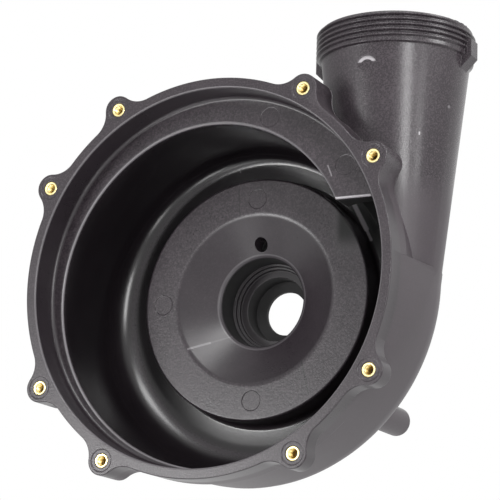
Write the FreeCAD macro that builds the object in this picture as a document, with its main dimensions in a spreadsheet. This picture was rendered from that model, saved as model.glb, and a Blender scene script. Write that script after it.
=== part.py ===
"""Volute pump casing: a moulded spiral casing with a bolted cover flange, a centre disc with
the seat of the shaft seal, a tapering outlet with an outside thread, and eight brass inserts.

The pump axis is Y. The cover flange lies in the plane y = 0 and faces -Y, the water space
lies behind it, and the outlet points up along +Z on the +X side. Lengths are in millimetres.
Angles round the pump axis are counted from +X towards +Z, and the spiral opens that way.
"""

import FreeCAD, Part
import math
import os
import Sketcher

document = FreeCAD.newDocument("VolutePumpCasing")
sheet = document.addObject("Spreadsheet::Sheet", "Sizes")
names = []


def size(name, number, note):
    """Write one driving dimension on the sheet, with its name and what it is."""
    names.append(name)
    row = len(names)
    sheet.set("A%d" % row, name)
    sheet.set("B%d" % row, str(number))
    sheet.set("C%d" % row, note)
    sheet.setAlias("B%d" % row, name)


# Cover flange
size("pitch_radius", 98.0, "circle through the eight screw inserts")
size("flange_radius", 95.0, "outside of the flange between the ears")
size("flange_depth", 15.0, "depth of the ears")
size("ear_radius", 7.0, "lobe round each insert")
size("ear_blend", 12.0, "hollow round between a lobe and the flange rim")
size("ear_angle_low", 30.0, "angle of the lower ears above and below the horizontal")
size("ear_angle_high", 60.0, "angle of the higher ears above and below the horizontal")
size("register_radius", 90.0, "bore that centres the cover")
size("register_depth", 15.0, "depth of that bore, down to the ledge")
size("register_fillet", 3.0, "round at the foot of that bore")
size("register_edge", 0.8, "round at the mouth of that bore")

# Threaded inserts
size("insert_radius", 3.5, "outside of a brass insert")
size("insert_length", 9.0, "length of a brass insert")
size("insert_bore_radius", 2.2, "tapped bore of an insert")
size("insert_chamfer", 0.4, "lead-in of the tapped bore")
size("insert_recess_radius", 5.2, "shallow recess round each insert")
size("insert_recess_depth", 0.5, "depth of that recess")
size("insert_well", 2.5, "free depth below an insert in its blind hole")

# Spiral channel
size("wall", 4.0, "wall of the moulding")
size("cutwater_angle", 30.0, "angle of the cutwater")
size("cutwater_radius", 69.2, "inside of the spiral at the cutwater")
size("spiral_radius_120", 79.6, "inside of the spiral at 120 degrees")
size("spiral_radius_210", 85.2, "inside of the spiral at 210 degrees")
size("spiral_radius_300", 90.2, "inside of the spiral at 300 degrees")
size("spiral_slope", 0.1, "rise of the spiral at the cutwater")
size("spiral_start", 12.0, "depth at which the outside of the spiral starts")
size("channel_depth", 70.0, "floor of the channel")
size("throat_radius", 88.8, "inside of the wall behind the end of the ledge")
size("flare", 3.2, "growth of the outside from the flange to the start of the floor's round")
size("corner_start", 6.0, "round of the channel floor at the cutwater")
size("corner_end", 23.0, "round of the channel floor at the throat")
size("foot_fillet", 2.5, "round at the foot of the centre disc")
size("step_height", 5.5, "height at which the outside of the spiral ends")

# Centre disc, funnel and seal seat
size("disc_radius", 60.0, "raised centre disc")
size("disc_depth", 55.0, "face of the centre disc")
size("disc_edge", 1.2, "round at the rim of the disc")
size("funnel_radius", 42.0, "mouth of the funnel")
size("funnel_edge", 7.0, "round at the mouth of the funnel")
size("eye_radius", 23.3, "small end of the funnel")
size("eye_depth", 63.0, "depth of the small end of the funnel")
size("seal_radius", 22.0, "bore for the shaft seal")
size("seal_depth", 76.4, "end of the plain seal bore")
size("ring_width", 1.2, "width of each small step in the seal bore")
size("ring_depth", 2.0, "depth of each small step in the seal bore")
size("seat_radius", 16.0, "narrow bore behind the steps")
size("seat_end", 90.5, "end of that bore")
size("seat_slope", 1.2, "fall of its end towards the shaft hole")
size("shaft_radius", 11.0, "shaft hole")
size("hub_end", 94.0, "back end of the hub")
size("hub_radius", 26.5, "outside of the hub behind the disc")
size("hub_shoulder", 84.0, "depth at which the hub narrows")
size("nose_radius", 19.5, "outside of the hub round the narrow bore")
size("vent_height", 28.3, "small blind hole above the eye")
size("vent_radius", 3.4, "radius of that hole")
size("vent_end", 69.0, "depth of the end of that hole")
size("rib_count", 8, "ribs behind the disc")
size("rib_thickness", 3.0, "thickness of a rib")
size("rib_depth", 71.0, "back edge of the ribs")

# Outlet
size("outlet_x", 75.5, "outlet axis from the pump axis")
size("outlet_y", 47.0, "depth of the outlet axis")
size("outlet_root_radius", 22.6, "outside of the outlet level with the pump axis")
size("outlet_neck_radius", 35.4, "outside of the outlet below its thread")
size("outlet_neck", 107.0, "height of the neck below the thread")
size("rim_height", 122.0, "height of the outlet rim")
size("rim_chamfer", 0.8, "chamfer of the rim")
size("thread_radius", 38.0, "crest of the outlet thread")
size("thread_depth", 1.3, "depth of the outlet thread")
size("thread_pitch", 2.5, "pitch of the outlet thread")
size("thread_turns", 5, "grooves of the outlet thread")
size("bar_width", 8.0, "smooth bar where the thread is parted")
size("bar_reach", 40.0, "reach of the bar from the outlet axis")
size("bar_bottom", 100.5, "lower end of the bar")
size("bar_top", 118.0, "upper end of the bar")

# Motor side
size("boss_spacing", 109.2, "spacing of the four rear bosses, both ways")
size("boss_radius", 7.0, "radius of a rear boss")
size("boss_end", 106.0, "depth of the ends of the rear bosses")
size("boss_hole_radius", 2.6, "pilot hole in a rear boss")
size("boss_hole_depth", 22.0, "depth of that pilot hole")

# Building
size("overrun", 1.0, "how far a cut runs past what it cuts")
document.recompute()


def value(name):
    """Read one driving dimension back from the sheet."""
    return float(sheet.get(name))


def bind(thing, path, formula):
    """Bind a property to a formula whose words are names of the sheet."""
    words = formula.split()
    words = ["Sizes." + word if word in names else word for word in words]
    thing.setExpression(path, " ".join(words))


def new_sketch(body, role, name):
    """A sketch on one of the body's own origin planes."""
    sketch = body.newObject("Sketcher::SketchObject", name)
    plane = [item for item in body.Origin.OriginFeatures if item.Role == role][0]
    sketch.AttachmentSupport = [(plane, "")]
    sketch.MapMode = "FlatFace"
    return sketch


def draw_lines(sketch, corners, closed=True):
    """Draw straight lines through corners given as pairs of numbers."""
    points = [FreeCAD.Vector(x, y, 0) for x, y in corners]
    if closed:
        points.append(points[0])
    first = sketch.GeometryCount
    for start, end in zip(points, points[1:]):
        sketch.addGeometry(Part.LineSegment(start, end), False)
    last = sketch.GeometryCount - 1
    for index in range(first, last):
        sketch.addConstraint(Sketcher.Constraint("Coincident", index, 2, index + 1, 1))
    if closed:
        sketch.addConstraint(Sketcher.Constraint("Coincident", last, 2, first, 1))


def draw_circle(sketch, radius_formula):
    """Draw a circle round the sketch origin, with its radius bound to the sheet."""
    circle = Part.Circle(FreeCAD.Vector(0, 0, 0), FreeCAD.Vector(0, 0, 1), 5.0)
    index = sketch.addGeometry(circle, False)
    sketch.addConstraint(Sketcher.Constraint("Coincident", index, 3, -1, 1))
    radius = sketch.addConstraint(Sketcher.Constraint("Radius", index, 5.0))
    bind(sketch, "Constraints[%d]" % radius, radius_formula)


def add_pad(body, sketch, name, start_formula, end_formula):
    """Pad a sketch of the flange plane towards +Y, between two depths."""
    bind(sketch, "AttachmentOffset.Base.z", "0 mm - ( " + start_formula + " ) * 1 mm")
    pad = body.newObject("PartDesign::Pad", name)
    pad.Profile = sketch
    pad.Reversed = True
    bind(pad, "Length", "( " + end_formula + " ) - ( " + start_formula + " )")
    body.Tip = pad
    document.recompute()
    return pad


def add_revolution(body, sketch, name):
    """Revolve a closed half section once round the vertical axis of its sketch."""
    turned = body.newObject("PartDesign::Revolution", name)
    turned.Profile = sketch
    turned.ReferenceAxis = (sketch, ["V_Axis"])
    turned.Angle = 360.0
    body.Tip = turned
    document.recompute()
    return turned


def add_cylinder(name, radius, start, end, x="0", z="0"):
    """A cylinder along +Y between two depths, at a place in the flange plane."""
    rod = document.addObject("Part::Cylinder", name)
    along = FreeCAD.Rotation(FreeCAD.Vector(1, 0, 0), -90)
    rod.Placement = FreeCAD.Placement(FreeCAD.Vector(0, 0, 0), along)
    bind(rod, "Radius", radius)
    bind(rod, "Height", "( " + end + " ) - ( " + start + " )")
    bind(rod, "Placement.Base.x", x)
    bind(rod, "Placement.Base.y", start)
    bind(rod, "Placement.Base.z", z)
    return rod


def fuse(name, parts):
    """Join several shapes into one."""
    joined = document.addObject("Part::MultiFuse", name)
    joined.Shapes = parts
    document.recompute()
    return joined


def cut(name, base, tool):
    """Take one shape away from another."""
    result = document.addObject("Part::Cut", name)
    result.Base = base
    result.Tool = tool
    document.recompute()
    return result


def on_circle(radius, degrees):
    """A point of the flange plane from its radius and angle."""
    angle = math.radians(degrees)
    return FreeCAD.Vector(radius * math.cos(angle), radius * math.sin(angle), 0)


def outlet_radius(height):
    """Outside radius of the tapering outlet at a height above the pump axis."""
    rise = value("outlet_neck_radius") - value("outlet_root_radius")
    return value("outlet_root_radius") + rise * height / value("outlet_neck")


# The spiral is a chain of tangent arcs through stations, as on a volute drawing


def spiral_stations():
    """Angles and radii of the inside of the spiral, from the cutwater to the throat."""
    throat = value("outlet_x") + outlet_radius(0.0) - value("wall")
    return [
        (value("cutwater_angle"), value("cutwater_radius")),
        (120.0, value("spiral_radius_120")),
        (210.0, value("spiral_radius_210")),
        (300.0, value("spiral_radius_300")),
        (360.0, throat),
    ]


def spiral_arcs(offset):
    """The tangent arcs of the spiral, each grown by an offset about its own centre."""
    stations = spiral_stations()
    points = [on_circle(radius, angle) for angle, radius in stations]
    outward = on_circle(1.0, stations[0][0])
    onward = FreeCAD.Vector(-outward.y, outward.x, 0)
    heading = (onward + outward * value("spiral_slope")).normalize()
    arcs = []
    for start, end in zip(points, points[1:]):
        chord = end - start
        inward = FreeCAD.Vector(-heading.y, heading.x, 0)
        radius = chord.dot(chord) / (2 * chord.dot(inward))
        centre = start + inward * radius
        middle = ((start + end) * 0.5 - centre).normalize() * radius
        grown = (radius + offset) / radius
        spokes = (start - centre, middle, end - centre)
        arcs.append(Part.Arc(*[centre + spoke * grown for spoke in spokes]))
        spoke = (end - centre).normalize()
        heading = FreeCAD.Vector(-spoke.y, spoke.x, 0)
    return arcs


def draw_spiral(sketch, offset, top):
    """Draw the spiral and close it below a level line over the throat."""
    arcs = spiral_arcs(offset)
    for arc in arcs:
        sketch.addGeometry(arc, False)
    for index in range(len(arcs) - 1):
        sketch.addConstraint(Sketcher.Constraint("Coincident", index, 2, index + 1, 1))
    first = arcs[0].StartPoint
    last = arcs[-1].EndPoint
    leaning = last.x + outlet_radius(top) - outlet_radius(0.0)
    inner = value("disc_radius") * math.cos(math.radians(value("cutwater_angle"))) - value("wall")
    corners = [(last.x, last.y), (leaning, top), (inner, top), (inner, first.y)]
    draw_lines(sketch, corners + [(first.x, first.y)], closed=False)


def round_spiral(name, base, depth, extra):
    """Round the back edge of a spiral block by a radius that grows towards the throat."""
    start_angle = value("cutwater_angle")
    growth = (value("corner_end") - value("corner_start")) / (360.0 - start_angle)
    edges = []
    for number, edge in enumerate(base.Shape.Edges, 1):
        if any(round(vertex.Y - depth, 3) for vertex in edge.Vertexes):
            continue
        beyond = all(vertex.X > value("outlet_x") for vertex in edge.Vertexes)
        if edge.Curve.TypeId != "Part::GeomCircle" and not beyond:
            continue
        angles = [math.degrees(math.atan2(v.Z, v.X)) % 360.0 for v in edge.Vertexes]
        angles = [360.0 if angle < start_angle / 2 else angle for angle in angles]
        low, high = sorted(angles)
        if edge.Curve.TypeId != "Part::GeomCircle":
            low, high = 360.0, 360.0
        radius_low = value("corner_start") + extra + growth * (low - start_angle)
        radius_high = value("corner_start") + extra + growth * (high - start_angle)
        edges.append((low, number, radius_low, radius_high))
    rounded = document.addObject("Part::Fillet", name)
    rounded.Base = base
    rounded.Edges = [item[1:] for item in sorted(edges)]
    document.recompute()
    return rounded


def build_spiral(name, offset, start_formula, end_formula, end, top):
    """A spiral block: outline, pad and growing round along its back edge."""
    body = document.addObject("PartDesign::Body", name + "Block")
    sketch = new_sketch(body, "XZ_Plane", name + "Outline")
    draw_spiral(sketch, offset, top)
    add_pad(body, sketch, name + "Pad", start_formula, end_formula)
    return round_spiral(name, body, end, offset)


def build_throat(name, offset, start_formula, end_formula, end, bottom):
    """The block behind the ledge's end, from the spiral to the register bore."""
    body = document.addObject("PartDesign::Body", name)
    sketch = new_sketch(body, "XZ_Plane", name + "Outline")
    reach = value("throat_radius") + offset
    tip = on_circle(value("cutwater_radius"), value("cutwater_angle"))
    top = tip.y + offset
    inner = value("disc_radius") * math.cos(math.radians(value("cutwater_angle"))) - value("wall")
    low_x = math.sqrt(reach ** 2 - bottom ** 2)
    high_x = math.sqrt(reach ** 2 - top ** 2)
    low_angle = math.degrees(math.atan2(bottom, low_x))
    high_angle = math.degrees(math.atan2(top, high_x))
    middle = on_circle(reach, (low_angle + high_angle) / 2)
    low = FreeCAD.Vector(low_x, bottom, 0)
    high = FreeCAD.Vector(high_x, top, 0)
    sketch.addGeometry(Part.Arc(low, middle, high), False)
    draw_lines(sketch, [(high_x, top), (inner, top), (inner, bottom), (low_x, bottom)], closed=False)
    add_pad(body, sketch, name + "Pad", start_formula, end_formula)
    radius = value("corner_end") + offset
    return round_edges(name + "Round", body, radius, lambda edge: is_circle(edge, reach, end))


def build_flange():
    """The round flange and its eight ears, with hollow blends between lobe and rim."""
    body = document.addObject("PartDesign::Body", "Flange")
    ring = new_sketch(body, "XZ_Plane", "FlangeCircle")
    draw_circle(ring, "flange_radius")
    add_pad(body, ring, "FlangePad", "0", "register_depth + wall")
    lobes = new_sketch(body, "XZ_Plane", "EarOutlines")
    rim = value("flange_radius")
    lobe = value("ear_radius")
    blend = value("ear_blend")
    pitch = value("pitch_radius")
    blend_centre = rim + blend
    reach = lobe + blend
    cosine = (pitch ** 2 + blend_centre ** 2 - reach ** 2) / (2 * pitch * blend_centre)
    half_angle = math.degrees(math.acos(cosine))
    for angle in insert_angles():
        middle = on_circle(pitch, angle)
        arcs = []
        for side in (-1, 1):
            hollow = on_circle(blend_centre, angle + side * half_angle)
            at_rim = on_circle(rim, angle + side * half_angle)
            at_lobe = middle + (hollow - middle) * (lobe / reach)
            towards = (at_rim + at_lobe) * 0.5 - hollow
            between = hollow + towards.normalize() * blend
            arcs.append((at_rim, between, at_lobe))
        top = middle + on_circle(lobe, angle)
        lobes.addGeometry(Part.Arc(*arcs[0]), False)
        lobes.addGeometry(Part.Arc(arcs[0][2], top, arcs[1][2]), False)
        lobes.addGeometry(Part.Arc(*reversed(arcs[1])), False)
        lobes.addGeometry(Part.LineSegment(arcs[1][0], arcs[0][0]), False)
    add_pad(body, lobes, "EarPad", "0", "flange_depth")
    return body


def insert_angles():
    """Angles of the eight inserts: two heights on each side, above and below."""
    low = value("ear_angle_low")
    high = value("ear_angle_high")
    return [low, high, 180 - high, 180 - low, 180 + low, 180 + high, 360 - high, 360 - low]


def build_hub():
    """The hub behind the disc, a turned shape, with ribs out to the back of the disc."""
    body = document.addObject("PartDesign::Body", "Hub")
    section = new_sketch(body, "XY_Plane", "HubSection")
    start = value("eye_depth")
    shoulder = value("hub_shoulder")
    nose = value("nose_radius")
    draw_lines(
        section,
        [
            (0, start),
            (value("hub_radius"), start),
            (value("hub_radius"), shoulder),
            (nose + value("wall") / 2, shoulder + value("wall") / 2),
            (nose, value("hub_end")),
            (0, value("hub_end")),
        ],
    )
    add_revolution(body, section, "HubTurned")
    rib = new_sketch(body, "XZ_Plane", "RibOutline")
    half = value("rib_thickness") / 2
    inner = value("eye_radius")
    outer = value("disc_radius") - value("wall") / 2
    draw_lines(rib, [(inner, -half), (outer, -half), (outer, half), (inner, half)])
    ribs = add_pad(body, rib, "RibPad", "eye_depth", "rib_depth")
    around = body.newObject("PartDesign::PolarPattern", "Ribs")
    around.Originals = [ribs]
    around.Axis = (rib, ["N_Axis"])
    around.Angle = 360.0
    bind(around, "Occurrences", "rib_count")
    body.Tip = around
    document.recompute()
    return body


def build_outlet():
    """The outside of the outlet: a taper, a neck and a band that carries the thread."""
    body = document.addObject("PartDesign::Body", "Outlet")
    section = new_sketch(body, "XZ_Plane", "OutletSection")
    neck = value("outlet_neck")
    crest = value("thread_radius")
    root = crest - value("thread_depth")
    rim = value("rim_height")
    pitch = value("thread_pitch")
    corners = [(0, 0), (outlet_radius(0), 0), (outlet_radius(neck), neck), (root, neck)]
    low = neck + pitch / 2
    for turn in range(int(value("thread_turns"))):
        corners.append((crest, low + pitch * turn))
        corners.append((root, low + pitch * (turn + 0.5)))
    corners += [(root, rim - value("rim_chamfer")), (root - value("rim_chamfer"), rim), (0, rim)]
    draw_lines(section, corners)
    add_revolution(body, section, "OutletTurned")
    bars = new_sketch(body, "XZ_Plane", "BarOutline")
    reach = value("bar_reach")
    bevel = reach - outlet_radius(value("bar_bottom"))
    draw_lines(
        bars,
        [
            (-reach, value("bar_bottom") + bevel),
            (-reach + bevel, value("bar_bottom")),
            (reach - bevel, value("bar_bottom")),
            (reach, value("bar_bottom") + bevel),
            (reach, value("bar_top") - bevel),
            (reach - bevel, value("bar_top")),
            (-reach + bevel, value("bar_top")),
            (-reach, value("bar_top") - bevel),
        ],
    )
    pad = body.newObject("PartDesign::Pad", "BarPad")
    pad.Profile = bars
    pad.Midplane = True
    bind(pad, "Length", "bar_width")
    body.Tip = pad
    bind(body, "Placement.Base.x", "outlet_x")
    bind(body, "Placement.Base.y", "outlet_y")
    document.recompute()
    return body


def build_flare(name, inset):
    """The ring beyond the flaring side wall, from the flange to the start of the floor's round."""
    body = document.addObject("PartDesign::Body", name)
    section = new_sketch(body, "XY_Plane", name + "Section")
    front = value("spiral_start") - value("overrun")
    back = value("channel_depth") - value("corner_end")
    near = value("flange_radius") - inset
    far = value("flange_radius") + value("wall") * 3
    draw_lines(
        section,
        [
            (near, front),
            (near, value("register_depth")),
            (near + value("flare"), back),
            (far, back),
            (far, front),
        ],
    )
    add_revolution(body, section, name + "Turned")
    return body


def build_outlet_bore():
    """The water way of the outlet: the taper less the wall, from the cutwater to the rim."""
    tip = on_circle(value("cutwater_radius"), value("cutwater_angle"))
    bore = document.addObject("Part::Cone", "OutletBore")
    taper = "( outlet_neck_radius - outlet_root_radius ) / outlet_neck"
    start = "cutwater_radius * %.9f" % (tip.y / value("cutwater_radius"))
    end = "( rim_height + overrun )"
    bind(bore, "Radius1", "outlet_root_radius - wall + " + taper + " * " + start)
    bind(bore, "Radius2", "outlet_root_radius - wall + " + taper + " * " + end)
    bind(bore, "Height", end + " - " + start)
    bind(bore, "Placement.Base.x", "outlet_x")
    bind(bore, "Placement.Base.y", "outlet_y")
    bind(bore, "Placement.Base.z", start)
    return bore


def build_back_recess():
    """The hollow behind the disc, which keeps the moulding's wall even."""
    body = document.addObject("PartDesign::Body", "BackRecess")
    section = new_sketch(body, "XY_Plane", "RecessSection")
    wall = value("wall")
    back = value("channel_depth") + wall + value("overrun")
    draw_lines(
        section,
        [
            (0, value("eye_depth") + wall),
            (value("eye_radius"), value("eye_depth") + wall),
            (value("funnel_radius"), value("disc_depth") + wall),
            (value("disc_radius") - wall, value("disc_depth") + wall),
            (value("disc_radius") - wall, back),
            (0, back),
        ],
    )
    add_revolution(body, section, "RecessTurned")
    return body


def build_centre_space():
    """Everything turned round the pump axis: disc space, funnel, seal bore and shaft hole."""
    body = document.addObject("PartDesign::Body", "CentreSpace")
    section = new_sketch(body, "XY_Plane", "CentreSection")
    seal = value("seal_radius")
    ring = value("ring_width")
    drop = value("ring_depth")
    deep = value("seal_depth")
    corners = [
        (0, value("register_depth") - value("overrun")),
        (value("disc_radius"), value("register_depth") - value("overrun")),
        (value("disc_radius"), value("disc_depth")),
        (value("funnel_radius"), value("disc_depth")),
        (value("eye_radius"), value("eye_depth")),
        (seal, value("eye_depth") + value("eye_radius") - seal),
        (seal, deep),
    ]
    for step in range(1, 3):
        corners.append((seal - ring * step, deep + drop * (step - 1)))
        corners.append((seal - ring * step, deep + drop * step))
    last = corners[-1][1]
    corners += [
        (value("seat_radius"), last),
        (value("seat_radius"), value("seat_end")),
        (value("shaft_radius"), value("seat_end") + value("seat_slope")),
        (value("shaft_radius"), value("hub_end") + value("overrun")),
        (0, value("hub_end") + value("overrun")),
    ]
    draw_lines(section, corners)
    add_revolution(body, section, "CentreTurned")
    return body


def round_edges(name, base, radius, wanted):
    """Round the circular edges of a shape that a test picks out."""
    numbers = [number for number, edge in enumerate(base.Shape.Edges, 1) if wanted(edge)]
    rounded = document.addObject("Part::Fillet", name)
    rounded.Base = base
    rounded.Edges = [(number, radius, radius) for number in numbers]
    document.recompute()
    return rounded


def is_circle(edge, radius, depth):
    """Whether an edge lies on a circle round the pump axis, of a radius and depth."""
    if edge.Curve.TypeId != "Part::GeomCircle":
        return False
    centre = edge.Curve.Center
    offsets = (centre.x, centre.z, centre.y - depth, edge.Curve.Radius - radius)
    return not any(round(offset, 3) for offset in offsets)


def build_outside():
    """The whole outside of the moulding, still solid inside."""
    channel_end = value("channel_depth") + value("wall")
    end = "channel_depth + wall"
    top = value("step_height")
    block = build_spiral("Spiral", value("wall"), "spiral_start", end, channel_end, top)
    spiral = cut("FlaredSpiral", block, build_flare("OutsideFlare", 0.0))
    throat = build_throat("Throat", value("wall"), "spiral_start", end, channel_end, 0.0)
    shell = fuse("Shell", [spiral, throat, build_outlet(), build_flange()])
    hollow = cut("HollowShell", shell, build_back_recess())
    vent = add_cylinder(
        "VentBoss", "vent_radius + wall", "disc_depth + wall", "vent_end + wall", "0", "vent_height"
    )
    bosses = []
    for side in (-1, 1):
        for level in (-1, 1):
            name = "Boss%s%s" % ("Left" if side < 0 else "Right", "Low" if level < 0 else "High")
            x = "boss_spacing / 2 * %d" % side
            z = "boss_spacing / 2 * %d" % level
            bosses.append(add_cylinder(name, "boss_radius", "outlet_y", "boss_end", x, z))
    return fuse("Outside", [hollow, build_hub(), vent] + bosses)


def build_water_space():
    """The space inside the moulding, which is taken out of it in one cut."""
    start = "register_depth - register_fillet"
    end = value("channel_depth")
    top = value("step_height") - value("wall")
    block = build_spiral("Channel", 0.0, start, "channel_depth", end, top)
    spiral = cut("FlaredChannel", block, build_flare("ChannelFlare", value("wall")))
    throat = build_throat("ThroatSpace", 0.0, start, "channel_depth", end, 0.0)
    channel = fuse("ChannelSpace", [spiral, throat])
    flange = add_cylinder("FlangeBlock", "flange_radius + pitch_radius", "0 - 1", "register_depth")
    inside = add_cylinder("FlangeBlockBore", "throat_radius", "0 - 2", "register_depth + 1")
    behind = cut("ChannelBehindFlange", channel, cut("FlangeKept", flange, inside))
    island = add_cylinder("DiscBlock", "disc_radius", "disc_depth", "channel_depth + 1")
    ring = cut("RingSpace", behind, island)
    register = add_cylinder("RegisterSpace", "register_radius", "0 - 1", "register_depth")
    document.recompute()
    rounded = round_edges(
        "RegisterRound",
        register,
        value("register_fillet"),
        lambda edge: is_circle(edge, value("register_radius"), value("register_depth")),
    )
    return fuse("WaterSpace", [ring, rounded, build_centre_space(), build_outlet_bore()])


def build_holes():
    """Blind holes: the insert holes with their recesses, the vent and the boss holes."""
    holes = []
    for number, angle in enumerate(insert_angles(), 1):
        place = on_circle(value("pitch_radius"), angle)
        x = "pitch_radius * %.9f" % (place.x / value("pitch_radius"))
        z = "pitch_radius * %.9f" % (place.y / value("pitch_radius"))
        depth = "insert_recess_depth + insert_length + insert_well"
        holes.append(add_cylinder("InsertHole%d" % number, "insert_radius", "0 - 1", depth, x, z))
        recess = add_cylinder(
            "InsertRecess%d" % number, "insert_recess_radius", "0 - 1", "insert_recess_depth", x, z
        )
        holes.append(recess)
    holes.append(add_cylinder("VentHole", "vent_radius", "disc_depth", "vent_end", "0", "vent_height"))
    for side in (-1, 1):
        for level in (-1, 1):
            x = "boss_spacing / 2 * %d" % side
            z = "boss_spacing / 2 * %d" % level
            start = "boss_end - boss_hole_depth"
            name = "BossHole%d" % (len(holes) - 16)
            holes.append(add_cylinder(name, "boss_hole_radius", start, "boss_end + 1", x, z))
    return fuse("Holes", holes)


def build_casing():
    """The casing: the outside less the water space and the holes, with its edges rounded."""
    hollow = cut("HollowCasing", build_outside(), build_water_space())
    drilled = cut("DrilledCasing", hollow, build_holes())
    rounds = [
        ("disc_radius", value("disc_depth"), "disc_edge"),
        ("funnel_radius", value("disc_depth"), "funnel_edge"),
        ("disc_radius", value("channel_depth"), "foot_fillet"),
        ("register_radius", 0.0, "register_edge"),
    ]
    edges = []
    for number, edge in enumerate(drilled.Shape.Edges, 1):
        for radius, depth, round_name in rounds:
            if is_circle(edge, value(radius), depth):
                edges.append((number, value(round_name), value(round_name)))
    casing = document.addObject("Part::Fillet", "VoluteCasing")
    casing.Base = drilled
    casing.Edges = edges
    casing.Label = "volute_casing"
    document.recompute()
    return casing


def build_insert(number, angle):
    """One brass insert, seated at the bottom of its recess."""
    body = document.addObject("PartDesign::Body", "CoverInsert%d" % number)
    body.Label = "cover_insert_%d" % number
    outside = new_sketch(body, "XZ_Plane", "InsertCircle%d" % number)
    draw_circle(outside, "insert_radius")
    add_pad(body, outside, "InsertPad%d" % number, "0", "insert_length")
    bore = new_sketch(body, "XZ_Plane", "InsertBoreCircle%d" % number)
    draw_circle(bore, "insert_bore_radius")
    pocket = body.newObject("PartDesign::Pocket", "InsertBore%d" % number)
    pocket.Profile = bore
    pocket.Type = "ThroughAll"
    pocket.Midplane = True
    body.Tip = pocket
    document.recompute()
    front = []
    for edge_number, edge in enumerate(pocket.Shape.Edges, 1):
        if is_circle(edge, value("insert_bore_radius"), 0.0):
            front.append("Edge%d" % edge_number)
    chamfer = body.newObject("PartDesign::Chamfer", "InsertLeadIn%d" % number)
    chamfer.Base = (pocket, front)
    bind(chamfer, "Size", "insert_chamfer")
    body.Tip = chamfer
    direction = on_circle(1.0, angle)
    bind(body, "Placement.Base.x", "pitch_radius * %.9f" % direction.x)
    bind(body, "Placement.Base.y", "insert_recess_depth")
    bind(body, "Placement.Base.z", "pitch_radius * %.9f" % direction.y)
    document.recompute()
    return body


def check_and_write(pieces):
    """Stop on any failed object or bad shape, then write one file for each piece."""
    document.recompute()
    for thing in document.Objects:
        if "Invalid" in thing.State or "Error" in thing.State:
            raise RuntimeError("%s did not build" % thing.Name)
    os.makedirs("parts", exist_ok=True)
    for piece in pieces:
        shape = piece.Shape
        if shape.isNull() or not shape.isValid() or not shape.Solids:
            raise RuntimeError("%s has a bad shape" % piece.Label)
        shape.exportStep(os.path.join("parts", piece.Label + ".step"))


casing = build_casing()
inserts = [build_insert(number, angle) for number, angle in enumerate(insert_angles(), 1)]
check_and_write([casing] + inserts)
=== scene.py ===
"""The looks of the volute pump casing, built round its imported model."""

import math

import bpy
from bpy.props import FloatProperty, FloatVectorProperty, IntProperty, PointerProperty
from mathutils import Matrix, Vector


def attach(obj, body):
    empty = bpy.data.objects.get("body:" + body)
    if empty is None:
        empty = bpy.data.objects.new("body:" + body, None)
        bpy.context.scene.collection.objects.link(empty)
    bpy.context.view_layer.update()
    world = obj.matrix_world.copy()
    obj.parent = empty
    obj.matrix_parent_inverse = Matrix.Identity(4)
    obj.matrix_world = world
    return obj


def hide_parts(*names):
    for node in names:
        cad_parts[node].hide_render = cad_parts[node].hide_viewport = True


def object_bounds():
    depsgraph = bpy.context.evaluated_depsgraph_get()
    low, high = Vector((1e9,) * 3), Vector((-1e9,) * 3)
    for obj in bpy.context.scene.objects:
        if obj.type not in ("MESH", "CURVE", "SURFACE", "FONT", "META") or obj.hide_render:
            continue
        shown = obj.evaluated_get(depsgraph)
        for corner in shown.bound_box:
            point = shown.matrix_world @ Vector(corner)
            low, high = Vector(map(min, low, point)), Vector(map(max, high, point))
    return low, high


bl_info = {
    "name": "Volute pump casing",
    "version": (1, 0, 0),
    "blender": (4, 5, 0),
    "location": "3D View > Sidebar > Casing",
    "description": "Builds a moulded spiral pump casing with brass inserts and its studio",
    "category": "Add Mesh",
}

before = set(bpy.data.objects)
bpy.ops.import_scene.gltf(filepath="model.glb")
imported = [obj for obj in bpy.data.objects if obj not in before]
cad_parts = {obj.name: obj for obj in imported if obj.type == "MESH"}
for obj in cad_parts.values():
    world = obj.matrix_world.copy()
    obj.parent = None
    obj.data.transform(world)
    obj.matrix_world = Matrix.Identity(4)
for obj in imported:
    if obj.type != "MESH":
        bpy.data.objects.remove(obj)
cad_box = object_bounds()

INSERTS = ["cover_insert_%d" % number for number in range(1, 9)]
MERGE = 1e-6
# How far a cutting tool reaches past what it cuts
CLEAR = 0.001
# Angle of the cutwater, where the spiral starts, and the steps of the grids wrapped round it:
# along the throat's floor, the wall behind the ledge, the tongue and the spiral
CUTWATER = 30
THROAT_STEPS, WALL_STEPS, TONGUE_STEPS, SPIRAL_STEPS = 2, 16, 8, 264
# Reach of the cut behind a low ear, and the gap it keeps from the flange's rim
EAR_CUT, EAR_CUT_GAP = 0.019, 0.0001
# Round marks of the mould's pins: radius at the face and at the groove, and the groove's depth
PIN, PIN_GROOVE, PIN_DEPTH = 0.0050, 0.0048, 0.0003
# Where the photograph was taken from: the camera's place, its right and up, its lens in mm
CAMERA_PLACE = (0.460948, -0.862753, -0.222019)
CAMERA_RIGHT = (0.895417, 0.444042, 0.032479)
CAMERA_UP = (0.075328, -0.222989, 0.971906)
CAMERA_LENS = 156.127
# Strength of the surroundings' light, and where the soft lamps stand and point
WORLD_GLOW = 0.22
LAMP_DISTANCE = 1.1
LAMP_TARGET = (0.01, 0.05, 0.01)
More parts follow.
